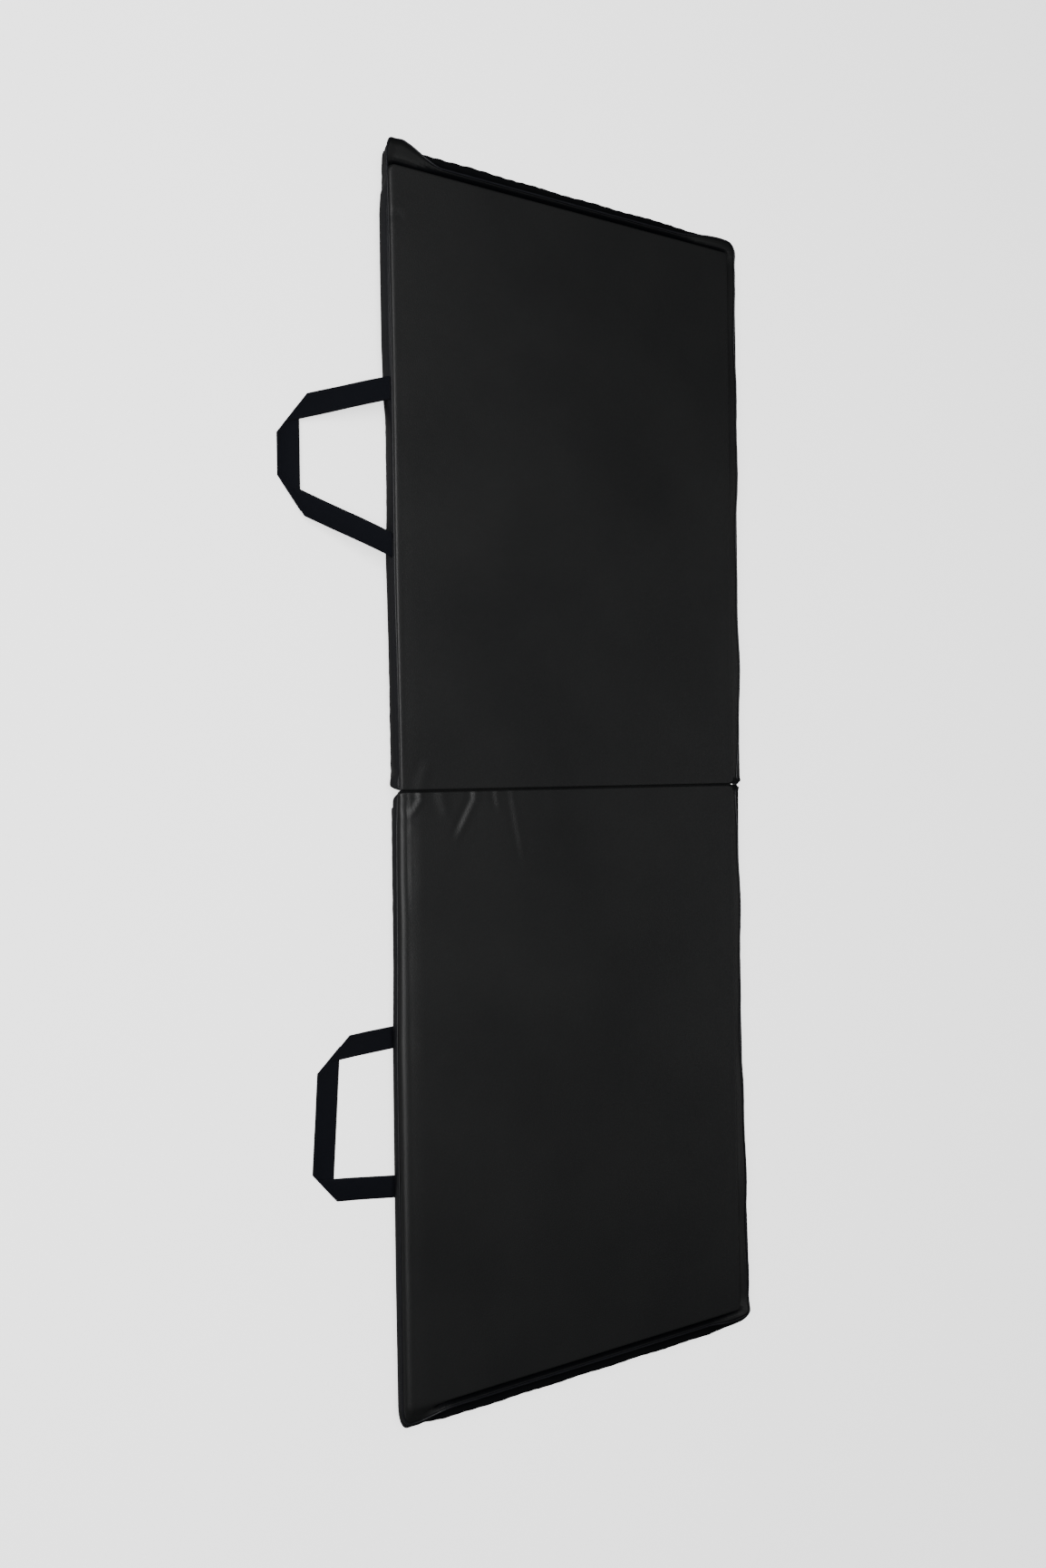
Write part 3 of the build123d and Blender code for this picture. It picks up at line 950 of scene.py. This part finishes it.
def paint_shaded_faces(obj, materials):
    """Gives the faces that lie deep the duller materials, the deepest the last of them: painted shade in the
    grooves and under the lip.
    """
    mesh = obj.data
    painted_shade = np.zeros(len(mesh.vertices), np.float32)
    mesh.attributes["shade"].data.foreach_get("value", painted_shade)
    for material in materials:
        mesh.materials.append(material)
    for polygon in mesh.polygons:
        share = float(painted_shade[list(polygon.vertices)].mean())
        polygon.material_index = sum(share > limit for limit in GROOVE_STEPS)


def paint_node(node, material):
    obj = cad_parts[node]
    for slot in obj.material_slots:
        slot.material = material


FACE_DARK, FACE_LIGHT = (0.0058, 0.0061, 0.0064), (0.0078, 0.0081, 0.0082)
# the bands' colours are the face's made a little darker and bluer: painted shade of the sides
BAND_DARK, BAND_LIGHT = (0.0050, 0.0053, 0.0068), (0.0072, 0.0075, 0.0095)
face_vinyl = vinyl("black_vinyl", FACE_DARK, FACE_LIGHT, 0.40)
band_vinyl = vinyl("black_vinyl_band", BAND_DARK, BAND_LIGHT, 0.38)
# duller copies of the face's vinyl, with less specular: painted shade for the grooves and under the lip
painted_shade_vinyls = [
    vinyl(f"black_vinyl_painted_shade_{k}", FACE_DARK, FACE_LIGHT, 0.42, specular=level)
    for k, level in enumerate(PAINTED_SHADE_SHINE)
]
welt_vinyl = vinyl("black_vinyl_piping", (0.0032, 0.0034, 0.005), (0.005, 0.0053, 0.0075), 0.36, 0.25)
back_vinyl = vinyl("black_vinyl_back", (0.0068, 0.007, 0.0075), (0.0115, 0.0117, 0.012), 0.55, 0.6)
webbing = webbing_material()
foam = foam_material()


# ---------------------------------------------------------------- assembly

for side in ("left", "right"):
    body = f"{side}_panel"
    pieces, seam, back, route = panel_cover(side)
    paint(pieces["front"], face_vinyl)
    paint(pieces["bands"], band_vinyl)
    paint_shaded_faces(pieces["front"], painted_shade_vinyls)
    paint_shaded_faces(pieces["bands"], painted_shade_vinyls)
    paint(pieces["fold"], band_vinyl)
    paint(pieces["back"], back_vinyl)
    for piece in pieces.values():
        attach(piece, body)
    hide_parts(f"{side}_front_sheet")
    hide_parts(f"{side}_near_band", f"{side}_end_band", f"{side}_far_band")
    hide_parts(f"{side}_fold_band")
    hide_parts(f"{side}_back_sheet")
    front_piping, back_piping = panel_welts(side, seam, back, route)
    for piping, node in ((front_piping, "front_welt"), (back_piping, "back_welt")):
        paint(piping, welt_vinyl)
        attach(piping, body)
        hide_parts(f"{side}_{node}")
    handle = strap_piece(side)
    paint(handle, webbing)
    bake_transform(handle)
    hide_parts(f"{side}_handle")
    paint_node(f"{side}_foam_core", foam)
    paint_node(f"{side}_handle_tails", webbing)

spine = fold_spine()
# the spine gets the darkest, dullest groove vinyl: painted shade along the fold line
paint(spine, painted_shade_vinyls[-1])
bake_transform(spine)
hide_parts("fold_seam")


# ---------------------------------------------------------------- floor, light and camera


def add_floor():
    size = 14.0
    mesh = bpy.data.meshes.new("floor")
    corners = [(-size, -size), (size, -size), (size, size), (-size, size)]
    mesh.from_pydata([(x, y, -0.4 * MM) for x, y in corners], [], [(0, 1, 2, 3)])
    floor = bpy.data.objects.new("floor", mesh)
    bpy.context.scene.collection.objects.link(floor)
    material, nodes, links, shader = new_material("pale_floor")
    shader.inputs["Base Color"].default_value = (0.95, 0.95, 0.95, 1)
    shader.inputs["Roughness"].default_value = 1.0
    shader.inputs["Specular IOR Level"].default_value = 0.0
    shader.inputs["Emission Color"].default_value = (1.0, 1.0, 1.0, 1)
    shader.inputs["Emission Strength"].default_value = 1.5
    # pale to the camera, but dim in what the mat reflects, except in front of the handle side, where a
    # painted pool of light makes it lighter
    dim = nodes.new("ShaderNodeBsdfDiffuse")
    place = nodes.new("ShaderNodeNewGeometry")
    split = nodes.new("ShaderNodeSeparateXYZ")
    # painted pool of light: the reflected floor grows lighter in front of the handle side
    front = nodes.new("ShaderNodeMapRange")
    front.interpolation_type = "SMOOTHSTEP"
    front.inputs["From Min"].default_value = -0.15
    front.inputs["From Max"].default_value = -0.45
    front.inputs["To Min"].default_value = 0.04
    front.inputs["To Max"].default_value = 0.50
    links.new(place.outputs["Position"], split.inputs["Vector"])
    links.new(split.outputs["Y"], front.inputs["Value"])
    links.new(front.outputs["Result"], dim.inputs["Color"])
    rays = nodes.new("ShaderNodeLightPath")
    blend = nodes.new("ShaderNodeMixShader")
    output = nodes["Material Output"]
    links.new(rays.outputs["Is Camera Ray"], blend.inputs["Fac"])
    links.new(dim.outputs["BSDF"], blend.inputs[1])
    links.new(shader.outputs["BSDF"], blend.inputs[2])
    links.new(blend.outputs["Shader"], output.inputs["Surface"])
    mesh.materials.append(material)
    floor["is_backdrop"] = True


def add_area(name, location, target, size, energy):
    light = bpy.data.lights.new(name, "AREA")
    light.shape = "RECTANGLE"
    light.size, light.size_y = size
    light.energy = energy
    lamp = bpy.data.objects.new(name, light)
    lamp.location = location
    aim = Vector(target) - Vector(location)
    lamp.rotation_euler = aim.to_track_quat("-Z", "Y").to_euler()
    bpy.context.scene.collection.objects.link(lamp)


def add_world(strength):
    """A pale sky, whose light fades to dark towards the horizon except to the camera."""
    world = bpy.data.worlds.new("studio")
    world.use_nodes = True
    nodes, links = world.node_tree.nodes, world.node_tree.links
    background = nodes["Background"]
    background.inputs["Color"].default_value = (1, 1, 1, 1)
    place = nodes.new("ShaderNodeTexCoord")
    split = nodes.new("ShaderNodeSeparateXYZ")
    fade = nodes.new("ShaderNodeMapRange")
    fade.interpolation_type = "SMOOTHSTEP"
    fade.inputs["From Min"].default_value = 0.35
    fade.inputs["From Max"].default_value = 0.80
    fade.inputs["To Min"].default_value = 0.02
    fade.inputs["To Max"].default_value = strength
    links.new(place.outputs["Generated"], split.inputs["Vector"])
    links.new(split.outputs["Z"], fade.inputs["Value"])
    links.new(fade.outputs["Result"], background.inputs["Strength"])
    pale = nodes.new("ShaderNodeBackground")
    pale.inputs["Color"].default_value = (0.86, 0.87, 0.88, 1)
    pale.inputs["Strength"].default_value = 0.9
    rays = nodes.new("ShaderNodeLightPath")
    blend = nodes.new("ShaderNodeMixShader")
    links.new(rays.outputs["Is Camera Ray"], blend.inputs["Fac"])
    links.new(background.outputs["Background"], blend.inputs[1])
    links.new(pale.outputs["Background"], blend.inputs[2])
    links.new(blend.outputs["Shader"], nodes["World Output"].inputs["Surface"])
    bpy.context.scene.world = world


def add_camera():
    """Above the handle side, looking down at sixty degrees, turned so that the mat stands upright."""
    camera_data = bpy.data.cameras.new("camera")
    camera_data.sensor_fit = "VERTICAL"
    camera_data.sensor_height = 36.0
    camera_data.lens = 27.05
    camera_data.dof.use_dof = False
    camera = bpy.data.objects.new("camera", camera_data)
    place = Vector((-0.0265, -0.8998, 1.5307))
    ahead = Vector((0.0113, 0.5005, -0.8657)).normalized()
    down = Vector((0.9998, -0.0172, 0.0031))
    right = down.cross(ahead).normalized()
    down = ahead.cross(right)
    turn = Matrix((right, -down, -ahead)).transposed()
    camera.matrix_world = Matrix.Translation(place) @ turn.to_4x4()
    bpy.context.scene.collection.objects.link(camera)
    bpy.context.scene.camera = camera


add_floor()
add_world(0.20)
add_area("overhead_soft", (-0.4, -1.5, 2.7), (0, 0, 0), (3.2, 2.6), 150)
add_area("far_fill", (0.3, 3.0, 1.6), (0, 0, 0), (3.0, 0.8), 9)
add_camera()

visual_box = [list(corner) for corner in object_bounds()]
({"cad": [[float(v) for v in c] for c in cad_box],
           "visual": [[float(v) for v in c] for c in visual_box]})
